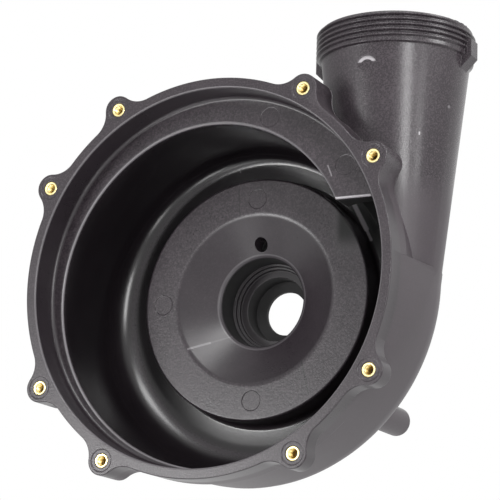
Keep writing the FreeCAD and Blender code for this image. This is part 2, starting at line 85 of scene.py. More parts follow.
# Name, angle round the pump axis, angle off it, width, height and glow of each soft lamp
LAMPS = (
    ("low_edge_lamp", 252, 85, 0.5, 0.5, 3.2),
    ("corner_edge_lamp", 312, 85, 0.4, 0.4, 3.2),
    ("right_edge_lamp", 30, 88, 0.35, 0.35, 14.3),
    ("top_lamp", 74, 42, 0.35, 0.25, 12.3),
    ("top_left_lamp", 92, 43, 0.12, 0.20, 9.1),
    ("right_lamp", 8, 44, 0.18, 0.4, 16.9),
    ("far_right_lamp", 5, 66, 0.15, 0.15, 13.0),
    ("front_left_lamp", 187, 31, 0.3, 0.18, 23.4),
    ("left_lamp", 196, 60, 0.3, 0.4, 0.8),
    ("low_lamp", 241, 38, 0.25, 0.2, 3.9),
    ("bottom_lamp", 270, 48, 0.3, 0.15, 9.1),
    ("low_right_lamp", 312, 50, 0.2, 0.2, 7.8),
)
# Lines and specks of the moulding, and painted highlights along two edges: start, end, half width
# and how light it is
MARKS_AND_PAINTED_HIGHLIGHTS = (
    ((-0.0353, 0.0551, -0.0228), (-0.0255, 0.0592, -0.0196), 0.0006, 0.25),
    ((-0.0255, 0.0592, -0.0196), (-0.0157, 0.0636, -0.0163), 0.0005, 0.08),
    ((0.0560, 0.0150, 0.0509), (0.0580, 0.0150, 0.0459), 0.0004, 0.25),
    # Painted highlight along the rounded end of the ledge by the cutwater
    ((0.0600, 0.0153, 0.0348), (0.0772, 0.0153, 0.0348), 0.0008, 0.8),
    ((0.0970, 0.0256, 0.0649), (0.0970, 0.0256, 0.0657), 0.0005, 0.6),
    ((0.1064, 0.0379, 0.0806), (0.1068, 0.0384, 0.0806), 0.0008, 0.2),
    # Painted highlight: light streaks on the round deep in the throat
    ((0.0448, 0.0700, 0.0476), (0.0520, 0.0700, 0.0340), 0.0013, 1.0),
    ((0.0520, 0.0700, 0.0340), (0.0546, 0.0698, 0.0284), 0.0008, 0.8),
    ((-0.0154, 0.0683, 0.0723), (-0.0176, 0.0696, 0.0692), 0.0006, 0.3),
    ((0.0248, 0.0550, -0.0267), (0.0302, 0.0550, -0.0477), 0.0005, -0.7),
    ((-0.0103, 0.0550, 0.0555), (-0.0093, 0.0550, 0.0427), 0.0004, -0.5),
)
# Where each part of the plastic's finish holds: what it reads, and the values between which it
# rises from 0 to 1. With the higher value first it falls. The steps of one part are multiplied.
# Depth is y, radius is taken from the pump axis, and back, up and inward say where a face looks.
MASKS = {
    "casing": (("radius", 0.0945, 0.0935),),
    "outlet": (("x", 0.040, 0.050), ("z", 0.030, 0.050), ("radius", 0.0935, 0.0945)),
    "outlet_left": (("x", 0.074, 0.060),),
    "outlet_side": (
        ("x", 0.040, 0.044),
        ("z", 0.0375, 0.0385),
        ("radius", 0.0735, 0.0745),
        ("inward", 0.0, 0.010),
    ),
    "before_the_back": (("depth", 0.0720, 0.0705),),
    # The channel's walls and floor: glossier, and darkened by painted shade
    "channel_wall": (("inward", 0.020, 0.040), ("depth", 0.015, 0.020)),
    "channel_floor": (("back", -0.95, -0.995), ("depth", 0.060, 0.066)),
    "outside": (("depth", 0.009, 0.012), ("inward", -0.010, -0.030), ("radius", 0.062, 0.064)),
    "seal_steps": (("depth", 0.0756, 0.0760), ("depth", 0.0812, 0.0808)),
    # The eye and the seal bore behind it: darkened by painted shade and made rougher
    "eye": (
        ("radius", 0.0238, 0.0234),
        ("depth", 0.0634, 0.0645),
        ("back", 0.5, 0.1),
        ("inward", -0.006, -0.002),
    ),
    # The throat behind the end of the ledge: darkened by painted shade and made rougher
    "throat": (
        ("x", 0.040, 0.046),
        ("z", 0.016, 0.030),
        ("depth", 0.0170, 0.0190),
        ("radius", 0.090, 0.085),
        ("back", 0.2, 0.05),
        ("up", 0.3, 0.1),
    ),
    # Painted highlight along the lip where the ledge turns into the channel; the channel's painted
    # shade stops here
    "lip": (
        ("depth", 0.0150, 0.0153),
        ("depth", 0.0166, 0.0158),
        ("inward", 0.0, 0.010),
        ("radius", 0.0945, 0.0935),
    ),
    # Painted highlight round the register's mouth
    "mouth": (("depth", 0.0012, 0.0006), ("radius", 0.0909, 0.0905)),
    # Painted highlight round the funnel's mouth
    "funnel_edge": (
        ("radius", 0.0242, 0.0238),
        ("depth", 0.0640, 0.0636),
        ("depth", 0.0618, 0.0622),
    ),
    # Painted highlight along the flange's back edge where it meets the outlet
    "back_edge_highlight": (
        ("depth", 0.0174, 0.0180),
        ("depth", 0.0194, 0.0190),
        ("back", -0.4, -0.2),
        ("x", 0.049, 0.052),
        ("z", 0.055, 0.060),
        ("radius", 0.1054, 0.1050),
    ),
    # Painted highlight: a light crescent at the top of the outlet's round mark
    "crescent": (
        ("back", 0.0, -0.3),
        ("from_mark", 0.0032, 0.0036),
        ("from_mark", 0.0052, 0.0048),
        ("z", 0.0982, 0.0990),
    ),
}
# How light the painted highlights are on these edges and on the outlet's mark
PAINTED_HIGHLIGHTS = {"lip": 0.35, "mouth": 0.15, "funnel_edge": 0.10, "back_edge_highlight": 0.9, "crescent": 0.7}
# Black painted as shade into the deep hollows (the eye, the throat and the channel), also the
# colour of dark lines on the disc
PAINTED_SHADE_BLACK = (0.002, 0.002, 0.002, 1.0)


def length(name, number, note):
    """A size in metres that a user may change."""
    return FloatProperty(name=name, description=note, default=number, unit="LENGTH", precision=5)


def ratio(name, number, note):
    """A plain number that a user may change."""
    return FloatProperty(name=name, description=note, default=number)


def colour(name, red, green, blue, note):
    """A colour that a user may change."""
    return FloatVectorProperty(
        name=name, description=note, default=(red, green, blue), subtype="COLOR", min=0.0, max=1.0
    )


class FlangeSizes(bpy.types.PropertyGroup):
    """Sizes of the open flange, its ears and the register bore behind it."""

    pitch: length("Insert circle", 0.098, "Radius of the circle the inserts lie on")
    rim: length("Rim", 0.095, "Radius of the flange")
    thickness: length("Thickness", 0.019, "Depth of the flange behind its open face")
    ear: length("Ear", 0.007, "Radius of an ear round its insert")
    blend: length("Blend", 0.012, "Radius of the hollow between ear and rim")
    edge: length("Front edge", 0.0005, "Round of the flange's front edge")
    back_edge: length("Back edge", 0.0010, "Round of the flange's back edge")
    low_ear: length("Low ear", 0.0095, "Depth of the two ears in front of the body")
    register: length("Register", 0.090, "Radius of the register bore")
    ledge: length("Ledge", 0.015, "Depth of the ledge behind the open face")
    register_round: length("Register round", 0.002, "Round where the bore meets the ledge")
    mouth_round: length("Mouth round", 0.0008, "Round of the bore's mouth")
    recess: length("Recess", 0.0052, "Radius of the recess round an insert")
    recess_depth: length("Recess depth", 0.0003, "Depth of that recess")
    insert_hole: length("Insert hole", 0.0035, "Radius of the hole an insert sits in")
    insert_hole_end: length("Insert hole end", 0.012, "Depth of that hole")


class ChannelSizes(bpy.types.PropertyGroup):
    """Sizes of the spiral channel and its throat."""

    wall: length("Wall", 0.004, "Wall of the moulding")
    start: length("Start", 0.0692, "Radius at the cutwater, 30 degrees up")
    first_quarter: length("At 120 degrees", 0.0796, "Radius of the spiral at 120 degrees")
    second_quarter: length("At 210 degrees", 0.0852, "Radius of the spiral at 210 degrees")
    third_quarter: length("At 300 degrees", 0.0902, "Radius of the spiral at 300 degrees")
    throat: length("Throat", 0.0941, "Radius of the spiral at the throat")
    throat_wall: length("Throat wall", 0.0888, "Radius of the wall behind the end of the ledge")
    flare: ratio("Flare", 0.1, "Flare of the wall behind the flange")
    flare_start: length("Flare start", 0.0145, "Depth at which the channel's flare starts")
    body_start: length("Body start", 0.0095, "Depth at which the body leaves the flange")
    floor: length("Floor", 0.070, "Depth of the channel's floor")
    round_start: length("Round at start", 0.006, "Round of the floor at the cutwater")
    round_end: length("Round at end", 0.023, "Round of the floor at the throat")
    slow_round: ratio("Slow round", 0.16, "Lag of the floor's round over the first half turn")
    fast_round: ratio("Fast round", 0.06, "Lead of the floor's round over the second half turn")
    lip: length("Lip", 0.0013, "Round where the ledge turns into the channel")
    step: length("Step", 0.0055, "Height of the step behind the throat, above the axis")
    slope: ratio("Slope", 0.1, "Growth of the spiral at its start")


class CentreSizes(bpy.types.PropertyGroup):
    """Sizes of the disc, the funnel, the seal bore and the hub."""

    disc: length("Disc", 0.060, "Radius of the centre disc")
    disc_depth: length("Disc depth", 0.055, "Depth of the disc's face")
    disc_edge: length("Disc edge", 0.0012, "Round of the disc's edge")
    foot: length("Foot", 0.0025, "Round where the disc's side meets the floor")
    funnel: length("Funnel", 0.042, "Radius of the funnel's mouth")
    funnel_edge: length("Funnel edge", 0.0070, "Round of the funnel's mouth")
    eye: length("Eye", 0.0233, "Radius of the funnel's inner end")
    eye_depth: length("Eye depth", 0.063, "Depth of the funnel's inner end")
    seal: length("Seal bore", 0.022, "Radius of the seal bore")
    seal_depth: length("Seal depth", 0.0764, "Depth of the seal bore")
    ring: length("Ring", 0.0012, "Width of a step behind the seal bore")
    ring_drop: length("Ring drop", 0.002, "Depth of a step behind the seal bore")
    seat: length("Narrow bore", 0.016, "Radius of the bore behind the steps")
    seat_end: length("Narrow bore's end", 0.0905, "Depth of that bore")
    seat_slope: length("Seat slope", 0.0012, "Fall of its end towards the shaft hole")
    shaft: length("Shaft hole", 0.011, "Radius of the shaft hole")
    hub: length("Hub", 0.0265, "Radius of the hub")
    hub_shoulder: length("Hub shoulder", 0.084, "Depth of the hub's shoulder")
    nose: length("Nose", 0.0195, "Radius of the hub's nose")
    hub_end: length("Hub end", 0.094, "Depth of the hub's end")
    rib: length("Rib", 0.003, "Thickness of a rib behind the disc")
    rib_end: length("Rib end", 0.071, "Depth of the ribs' back edge")
    vent: length("Vent", 0.0034, "Radius of the small blind hole in the funnel")
    vent_height: length("Vent height", 0.0283, "Height of that hole above the axis")
    vent_end: length("Vent end", 0.069, "Depth of that hole")
    boss: length("Boss", 0.007, "Radius of a boss on the motor side")
    boss_place: length("Boss place", 0.0546, "Place of a boss from the axis, both ways")
    boss_end: length("Boss end", 0.106, "Depth of the bosses' ends")
    boss_hole: length("Boss hole", 0.0026, "Radius of the hole in a boss")
    boss_hole_depth: length("Boss hole depth", 0.022, "Depth of the hole in a boss")


class OutletSizes(bpy.types.PropertyGroup):
    """Sizes of the tapering outlet and its thread."""

    offset: length("Offset", 0.0755, "Distance of the outlet from the pump axis")
    depth: length("Depth", 0.047, "Depth of the outlet's axis")
    root: length("Root", 0.0226, "Outside radius level with the pump axis")
    neck: length("Neck", 0.0354, "Outside radius below the thread")
    neck_height: length("Neck height", 0.107, "Height of the neck")
    rim_height: length("Rim height", 0.122, "Height of the rim")
    crest: length("Crest", 0.038, "Radius of the thread's crest")
    groove: length("Groove", 0.0013, "Depth of the thread")
    pitch: length("Pitch", 0.0025, "Pitch of the thread")
    turns: IntProperty(name="Turns", description="Turns of the thread", default=5)
    bar: length("Bar", 0.008, "Width of the smooth bars where the mould parts")
    bar_reach: length("Bar reach", 0.040, "Reach of a bar from the outlet's axis")
    bar_bottom: length("Bar bottom", 0.1005, "Lower end of the bars")
    bar_top: length("Bar top", 0.118, "Upper end of the bars")
    mark: length("Mark", 0.0050, "Radius of the round mark on the outlet's front")
    mark_place: length("Mark place", 0.0753, "Distance of that mark from the pump axis")
    mark_height: length("Mark height", 0.0965, "Height of that mark")
    mark_depth: length("Mark depth", 0.0125, "Depth of that mark behind the open face")


class InsertSizes(bpy.types.PropertyGroup):
    """Sizes of a brass insert."""

    outside: length("Outside", 0.0035, "Outside radius of an insert")
    bore: length("Bore", 0.0022, "Radius of the thread's crests inside")
    long: length("Length", 0.009, "Length of an insert")
    chamfer: length("Chamfer", 0.0004, "Chamfer at the mouth")
    edge: length("Edge", 0.0004, "Chamfer round the outside")
    thread: length("Thread depth", 0.00045, "Depth of the inside thread")
    pitch: length("Thread pitch", 0.0008, "Pitch of the inside thread")


class FinishColours(bpy.types.PropertyGroup):
    """Colours of the moulding, the inserts and the studio."""

    plastic: colour("Plastic", 0.0195, 0.0147, 0.0186, "Glass-filled plastic")
    dusty: colour("Dusty plastic", 0.060, 0.048, 0.056, "Where fibres show at the surface")
    # Light grey of the painted highlights on edges and the outlet's mark, and of light moulding
    # lines
    painted_highlight_and_lines: colour("Worn plastic", 0.66, 0.63, 0.66, "Edges, flash and lines that are rubbed light")
    brass: colour("Brass", 0.92, 0.80, 0.42, "Turned brass")
    # Darker brass, mixed in deeper into each insert and in faint clouds
    darker_brass: colour("Tarnish", 0.50, 0.33, 0.09, "Dull brass in the thread's roots")
    studio: colour("Studio", 0.86, 0.86, 0.86, "Floor of the studio")


# Modelling


def deselect():
    """Leave edit mode and select nothing."""
    if bpy.context.object and bpy.context.object.mode != "OBJECT":
        bpy.ops.object.mode_set(mode="OBJECT")
    bpy.ops.object.select_all(action="DESELECT")


def leave():
    """Go back to object mode."""
    bpy.ops.object.mode_set(mode="OBJECT")


def edit_all():
    """Enter edit mode with everything selected."""
    bpy.ops.object.mode_set(mode="EDIT")
    bpy.ops.mesh.select_all(action="SELECT")


def select_only(piece):
    """Make one piece the selected and active one."""
    deselect()
    piece.select_set(True)
    bpy.context.view_layer.objects.active = piece


def close_up(piece):
    """Merge doubles and turn the faces outwards."""
    select_only(piece)
    edit_all()
    bpy.ops.mesh.remove_doubles(threshold=MERGE)
    bpy.ops.mesh.dissolve_degenerate(threshold=MERGE)
    bpy.ops.mesh.select_all(action="SELECT")
    bpy.ops.mesh.normals_make_consistent(inside=False)
    leave()
    return piece


def select_edges(piece, wanted):
    """Enter edit mode with only the edges selected that a test picks by their ends."""
    select_only(piece)
    bpy.ops.object.mode_set(mode="EDIT")
    bpy.ops.mesh.select_mode(type="EDGE")
    bpy.ops.mesh.select_all(action="DESELECT")
    leave()
    for edge in piece.data.edges:
        edge.select = wanted([piece.data.vertices[index].co for index in edge.vertices])
    bpy.ops.object.mode_set(mode="EDIT")


def extrude(step):
    """Extrude what is selected by a step."""
    bpy.ops.mesh.extrude_region_move(TRANSFORM_OT_translate={"value": step})


def draw_line(name, points):
    """Draw a line point by point, as one vertex extruded again and again."""
    deselect()
    bpy.ops.mesh.primitive_plane_add(size=0.01)
    piece = bpy.context.object
    piece.name = name
    bpy.ops.object.mode_set(mode="EDIT")
    bpy.ops.mesh.select_mode(type="VERT")
    bpy.ops.mesh.merge(type="CENTER")
    bpy.ops.transform.translate(value=points[0])
    for start, end in zip(points, points[1:]):
        extrude(Vector(end) - Vector(start))
    bpy.ops.mesh.select_all(action="SELECT")
    return piece


def round_corners(corners, steps=4):
    """Points of a path whose corners (across, along, round) are rounded."""
    path = []
    for index, (across, along, radius) in enumerate(corners):
        here = Vector((across, along))
        if radius == 0:
            path.append(here)
            continue
        back = (Vector(corners[index - 1][:2]) - here).normalized()
        ahead = (Vector(corners[(index + 1) % len(corners)][:2]) - here).normalized()
        half = math.acos(max(-1.0, min(1.0, back.dot(ahead)))) / 2
        reach = radius / math.tan(half)
        centre = here + (back + ahead).normalized() * (radius / math.sin(half))
        start = here + back * reach - centre
        end = here + ahead * reach - centre
        sweep = math.pi - 2 * half
        count = steps * 3 if radius >= 0.005 else steps
        for number in range(count + 1):
            share = number / count
            spoke = start * math.sin((1 - share) * sweep) + end * math.sin(share * sweep)
            path.append(centre + spoke / math.sin(sweep))
    return path


def turn(name, corners, place=(0.0, 0.0, 0.0), upright=False, steps=192, ring=False):
    """Spin a rounded section about an axis in depth, or an upright one. It closes on the axis."""
    axis = Vector((0, 0, 1) if upright else (0, 1, 0))
    right = Vector((1, 0, 0))
    if ring:
        path = round_corners(corners + corners[:1])
    else:
        path = round_corners([(0, corners[0][1], 0)] + corners + [(0, corners[-1][1], 0)])
    piece = draw_line(name, [Vector(place) + right * x + axis * along for x, along in path])
    bpy.ops.mesh.spin(steps=steps, angle=math.tau, center=place, axis=axis)
    leave()
    return close_up(piece)


def wrap(name, columns):
    """Wrap a grid round the pump axis, one column of (across, along) for each angle."""
    deselect()
    rows = len(columns[0][1])
    bpy.ops.mesh.primitive_grid_add(x_subdivisions=len(columns), y_subdivisions=rows - 1, size=0.1)
    piece = bpy.context.object
    piece.name = name
    closed = columns + columns[:1]
    flat = []
    for row in range(rows):
        for angle, path in closed:
            across, along = path[row]
            flat += [across * math.cos(angle), along, across * math.sin(angle)]
    piece.data.vertices.foreach_set("co", flat)
    return close_up(piece)


def combine(piece, tool, operation):
    """Join a tool to a piece, or take it away, and remove the tool."""
    select_only(piece)
    bpy.ops.object.modifier_add(type="BOOLEAN")
    modifier = piece.modifiers[-1]
    modifier.operation = operation
    modifier.solver = "MANIFOLD"
    modifier.object = tool
    bpy.ops.object.modifier_apply(modifier=modifier.name)
    if not piece.data.polygons or not tool.data.polygons:
        raise RuntimeError("%s didn't combine with %s" % (tool.name, piece.name))
    bpy.data.objects.remove(tool)
    return piece


def join(pieces):
    """Put pieces that don't touch into one mesh."""
    deselect()
    for piece in pieces:
        piece.select_set(True)
    bpy.context.view_layer.objects.active = pieces[0]
    bpy.ops.object.join()
    return pieces[0]


def smooth(piece, degrees):
    """Shade a piece smooth up to an angle, with normals that favour its large faces."""
    select_only(piece)
    bpy.ops.object.shade_smooth_by_angle(angle=math.radians(degrees))
    bpy.ops.object.modifier_add(type="WEIGHTED_NORMAL")
    piece.modifiers[-1].keep_sharp = True
    bpy.ops.object.modifier_apply(modifier=piece.modifiers[-1].name)


def insert_angles():
    """Angles of the eight inserts, in the order of their names."""
    return [math.radians(angle) for angle in (30, 60, 120, 150, 210, 240, 300, 330)]


def polar(radius, angle):
    """A place in the plane of the open face, from its radius and angle."""
    return Vector((radius * math.cos(angle), 0.0, radius * math.sin(angle)))


def boss_places(centre):
    """The x and z of the four bosses on the motor side."""
    reach = centre.boss_place
    return [(x, z) for x in (-reach, reach) for z in (-reach, reach)]


# The spiral, as tangent arcs through its stations


def spiral_arcs(channel):
    """Start angle, end angle, centre and radius of each arc of the spiral."""
    stations = [
        (CUTWATER, channel.start),
        (120, channel.first_quarter),
        (210, channel.second_quarter),
        (300, channel.third_quarter),
        (360, channel.throat),
    ]
    points = [Matrix.Rotation(math.radians(a), 2) @ Vector((radius, 0)) for a, radius in stations]
    outward = points[0].normalized()
    heading = (outward.orthogonal() + outward * channel.slope).normalized()
    arcs = []
    for number, (start, end) in enumerate(zip(points, points[1:])):
        chord = end - start
        inward = heading.orthogonal()
        radius = chord.dot(chord) / (2 * chord.dot(inward))
        centre = start + inward * radius
        arcs.append((stations[number][0], stations[number + 1][0], centre, radius))
        heading = (end - centre).normalized().orthogonal()
    return arcs


def spiral_radius(arcs, degrees):
    """Distance from the pump axis to the spiral at an angle."""
    for start, end, centre, radius in arcs:
        if start <= degrees <= end:
            break
    ray = Vector((math.cos(math.radians(degrees)), math.sin(math.radians(degrees))))
    along = centre.dot(ray)
    return along + math.sqrt(radius ** 2 - centre.dot(centre) + along ** 2)


def outline(channel, outlet, offset):
    """Angle, radius and floor round of the channel all the way round, grown by a wall."""
    arcs = spiral_arcs(channel)
    growth = channel.round_end - channel.round_start
    tip = channel.start * math.sin(math.radians(CUTWATER)) + offset
    wall = channel.throat_wall + offset
    lean = (outlet.neck - outlet.root) / outlet.neck_height
    step = channel.step - channel.wall + offset
    columns = []
    last = math.degrees(math.asin(step / (channel.throat + offset + lean * step)))
    for number in range(THROAT_STEPS + 1):
        angle = math.radians(last * number / THROAT_STEPS)
        radius = (channel.throat + offset) / (math.cos(angle) - lean * math.sin(angle))
        columns.append((angle, radius, channel.round_end + offset))
    corner = math.degrees(math.asin(tip / wall))
    first = last + 0.01
    for number in range(WALL_STEPS + 1):
        angle = math.radians(first + (corner - first) * number / WALL_STEPS)
        columns.append((angle, wall, channel.round_end + offset))
    start = float(CUTWATER)
    while offset and tip / math.sin(math.radians(start)) > spiral_radius(arcs, start) + offset:
        start += 0.05
    for number in range(1, TONGUE_STEPS + 1):
        share = number / TONGUE_STEPS
        angle = math.radians(corner + (start - corner) * share)
        floor_round = channel.round_end - growth * share
        columns.append((angle, tip / math.sin(angle), floor_round + offset))
    for number in range(1, SPIRAL_STEPS):
        degrees = start + (360 - start) * number / SPIRAL_STEPS
        turned = (degrees - CUTWATER) / (360 - CUTWATER)
        sway = channel.slow_round if turned < 0.5 else channel.fast_round
        turned -= sway * math.sin(math.tau * turned)
        floor_round = channel.round_start + growth * turned
        radius = spiral_radius(arcs, degrees) + offset
        columns.append((math.radians(degrees), radius, floor_round + offset))
    return columns


# The outside of the moulding


def flared(settings, radius, front, start, offset):
    """Two corners of a side wall: at its front, and where it reaches its full radius."""
    channel = settings.channel
    rim = settings.flange.rim - channel.wall + offset
    at_front = min(radius, rim + channel.flare * (front - start))
    full = max(front + 0.002, start + (radius - rim) / channel.flare)
    return (at_front, front), (radius, min(full, channel.floor - channel.round_end))


def spiral_outside(settings):
    """The body of the casing: the spiral one wall further out, flush with the flange."""
    channel = settings.channel
    front = channel.body_start - 0.0005
    back = channel.floor + channel.wall
    columns = []
    for angle, radius, floor_round in outline(channel, settings.outlet, channel.wall):
        near, far = flared(settings, radius, front, channel.body_start, channel.wall)
        floor = [(radius, back, floor_round), (0, back, 0)]
        corners = [(0, front, 0), near + (0,), far + (0,)] + floor
        columns.append((angle, round_corners(corners)))
    return wrap("casing_body", columns)


def ear_radius(flange, angle):
    """Distance from the pump axis to the flange's outline at an angle."""
    nearest = min(insert_angles(), key=lambda at: abs(math.remainder(angle - at, math.tau)))
    turn_off = abs(math.remainder(angle - nearest, math.tau))
    hollow = flange.rim + flange.blend
    reach = flange.ear + flange.blend
    across = flange.pitch
    half = math.acos((across ** 2 + hollow ** 2 - reach ** 2) / (2 * across * hollow))
    if turn_off >= half:
        return flange.rim
    middle = Vector((hollow * math.cos(half), hollow * math.sin(half)))
    touch = Vector((across, 0)) + (middle - Vector((across, 0))) * (flange.ear / reach)
    ray = Vector((math.cos(turn_off), math.sin(turn_off)))
    if turn_off < math.atan2(touch.y, touch.x):
        along = across * ray.x
        return along + math.sqrt(flange.ear ** 2 - across ** 2 + along ** 2)
    along = middle.dot(ray)
    return along - math.sqrt(flange.blend ** 2 - middle.dot(middle) + along ** 2)


def flange_outside(flange):
    """The round flange with its eight ears, its edges rounded."""
    deselect()
    bpy.ops.mesh.primitive_circle_add(
        vertices=720, radius=flange.rim, fill_type="NGON", rotation=(math.pi / 2, 0, 0)
    )
    piece = bpy.context.object
    piece.name = "casing_flange"
    bpy.ops.object.transform_apply(location=True, rotation=True, scale=True)
    for vertex in piece.data.vertices:
        angle = math.atan2(vertex.co.z, vertex.co.x)
        vertex.co = polar(ear_radius(flange, angle), angle)
    edit_all()
    extrude((0, flange.thickness, 0))
    bpy.ops.mesh.select_all(action="SELECT")
    bpy.ops.mesh.normals_make_consistent(inside=False)
    leave()
    for depth, width in ((0.0, flange.edge), (flange.thickness, flange.back_edge)):
        select_edges(piece, lambda ends: all(abs(end.y - depth) < MERGE for end in ends))
        bpy.ops.mesh.bevel(offset=width, segments=4, affect="EDGES")
        leave()
    return close_up(piece)


def ear_cuts(flange):
    """The space behind the two shallow ears, where the body grows wider than the flange."""
    cuts = []
    back = flange.thickness + CLEAR
    for angle in insert_angles():
        ear = polar(flange.pitch, angle)
        if ear.x > 0 > ear.z:
            cuts.append(rod("ear_cut", EAR_CUT, flange.low_ear, back, ear.x, ear.z, 96))
    keep = rod("rim_kept", flange.rim + EAR_CUT_GAP, 0.0, back + CLEAR, 0.0, 0.0, 360)
    return combine(join(cuts), keep, "DIFFERENCE")


def outlet_outside(outlet):
    """The outside of the outlet: the taper, the neck and the root of the thread."""
    root = outlet.crest - outlet.groove
    corners = [
        (outlet.root, 0, 0),
        (outlet.neck, outlet.neck_height, 0.0004),
        (root, outlet.neck_height + 0.0006, 0.0004),
        (root, outlet.rim_height, 0.0008),
    ]
    return turn("casing_outlet", corners, (outlet.offset, outlet.depth, 0), upright=True)


def outlet_thread(outlet):
    """The thread as one ridge wound up the outlet, thinned out at both ends."""
    base = outlet.crest - outlet.groove - 0.0008
    root = outlet.crest - outlet.groove
    half = outlet.pitch / 2
    foot, flank, tip, edge = half * 0.86, half * 0.80, half * 0.26, 0.00022
    corners = [
        (base, -foot, 0),
        (root, -flank, 0),
        (outlet.crest, -tip, edge),
        (outlet.crest, tip, edge),
        (root, flank, 0),
        (base, foot, 0),
    ]
    section = round_corners(corners, steps=3)
    start = outlet.neck_height + half + 0.0002
    if start + outlet.turns * outlet.pitch > outlet.rim_height:
        raise RuntimeError("The thread is longer than the outlet")
    points = [(across, 0, start + along) for across, along in section]
    piece = draw_line("casing_thread", points + points[:1])
    bpy.ops.mesh.remove_doubles(threshold=MERGE)
    leave()
    bpy.ops.object.modifier_add(type="SCREW")
    winding = piece.modifiers[-1]
    winding.axis = "Z"
    winding.angle = math.tau
    winding.steps = winding.render_steps = 144
    winding.iterations = outlet.turns
    winding.screw_offset = outlet.pitch
    winding.use_normal_calculate = True
    bpy.ops.object.modifier_apply(modifier=winding.name)
    run_out = 0.12
    sunk = base + 0.0002
    for vertex in piece.data.vertices:
        around = math.atan2(vertex.co.y, vertex.co.x) / math.tau
        rise = (vertex.co.z - start) / outlet.pitch
        wound = around + round(rise - around)
        ends = min(wound, outlet.turns - wound)
        fade = min(1.0, max(0.0, ends / run_out))
        out = math.hypot(vertex.co.x, vertex.co.y)
        if out > root:
            scale = (sunk + (out - sunk) * fade) / out
            vertex.co.x *= scale
            vertex.co.y *= scale
        vertex.co.x += outlet.offset
        vertex.co.y += outlet.depth
    edit_all()
    bpy.ops.mesh.fill_holes(sides=0)
    leave()
    return close_up(piece)


def outlet_bars(outlet):
    """The two smooth bars where the mould parts, as one bar through the outlet."""
    low, high, reach = outlet.bar_bottom, outlet.bar_top, outlet.bar_reach
    bevel = reach - outlet.neck + 0.0012
    short, edge = bevel * 0.6, 0.0006
    corners = [
        (-reach, low + bevel, edge),
        (-reach + bevel, low, 0),
        (reach - bevel, low, 0),
        (reach, low + bevel, edge),
        (reach, high - short, edge),
        (reach - short, high, 0),
        (-reach + short, high, 0),
        (-reach, high - short, edge),
    ]
    path = round_corners(corners, steps=3)
    front = outlet.depth - outlet.bar / 2
    points = [(outlet.offset + across, front, along) for across, along in path]
    piece = draw_line("casing_bars", points + points[:1])
    bpy.ops.mesh.remove_doubles(threshold=MERGE)
    bpy.ops.mesh.edge_face_add()
    extrude((0, outlet.bar, 0))
    leave()
    return close_up(piece)


def rod(name, radius, start, end, x, z, steps=48, edge=0.0):
    """A round rod along the pump axis, its far end rounded where asked."""
    return turn(name, [(radius, start, 0), (radius, end, edge)], (x, 0.0, z), steps=steps)


def hub_outside(centre, channel):
    """The hub behind the disc."""
    corners = [
        (centre.hub, centre.eye_depth, 0),
        (centre.hub, centre.hub_shoulder, 0.0006),
        (centre.nose + channel.wall / 2, centre.hub_shoulder + channel.wall / 2, 0.0006),
        (centre.nose, centre.hub_end, 0.0005),
    ]
    return turn("casing_hub", corners, steps=128)


def hub_ribs(centre, channel):
    """Eight ribs from the hub to the side of the disc."""
    ribs = []
    inner, outer = centre.eye, centre.disc - channel.wall / 2
    for number in range(8):
        deselect()
        middle = Vector(((inner + outer) / 2, (centre.eye_depth + centre.rib_end) / 2, 0))
        bpy.ops.mesh.primitive_cube_add(size=1, location=middle)
        piece = bpy.context.object
        piece.scale = (outer - inner, centre.rib_end - centre.eye_depth, centre.rib)
        bpy.ops.object.transform_apply(location=True, rotation=True, scale=True)
        at_back = centre.rib_end - MERGE
        select_edges(
            piece,
            lambda ends: min(end.y for end in ends) > at_back
            and abs(ends[0].x - ends[1].x) > centre.rib,
        )
        bpy.ops.mesh.bevel(offset=0.0005, segments=3, affect="EDGES")
        bpy.ops.mesh.select_all(action="SELECT")
        bpy.ops.transform.rotate(
            value=math.radians(45 * number), orient_axis="Y", center_override=(0, 0, 0)
        )
        leave()
        ribs.append(piece)
    return close_up(join(ribs))


def back_recess(centre, channel):
    """The hollow behind the disc."""
    wall = channel.wall
    corners = [
        (centre.eye, centre.eye_depth + wall, 0),
        (centre.funnel, centre.disc_depth + wall, 0.002),
        (centre.disc - wall, centre.disc_depth + wall, 0.002),
        (centre.disc - wall, channel.floor + wall + CLEAR, 0),
    ]
    return turn("back_recess", corners)


# The space inside the moulding


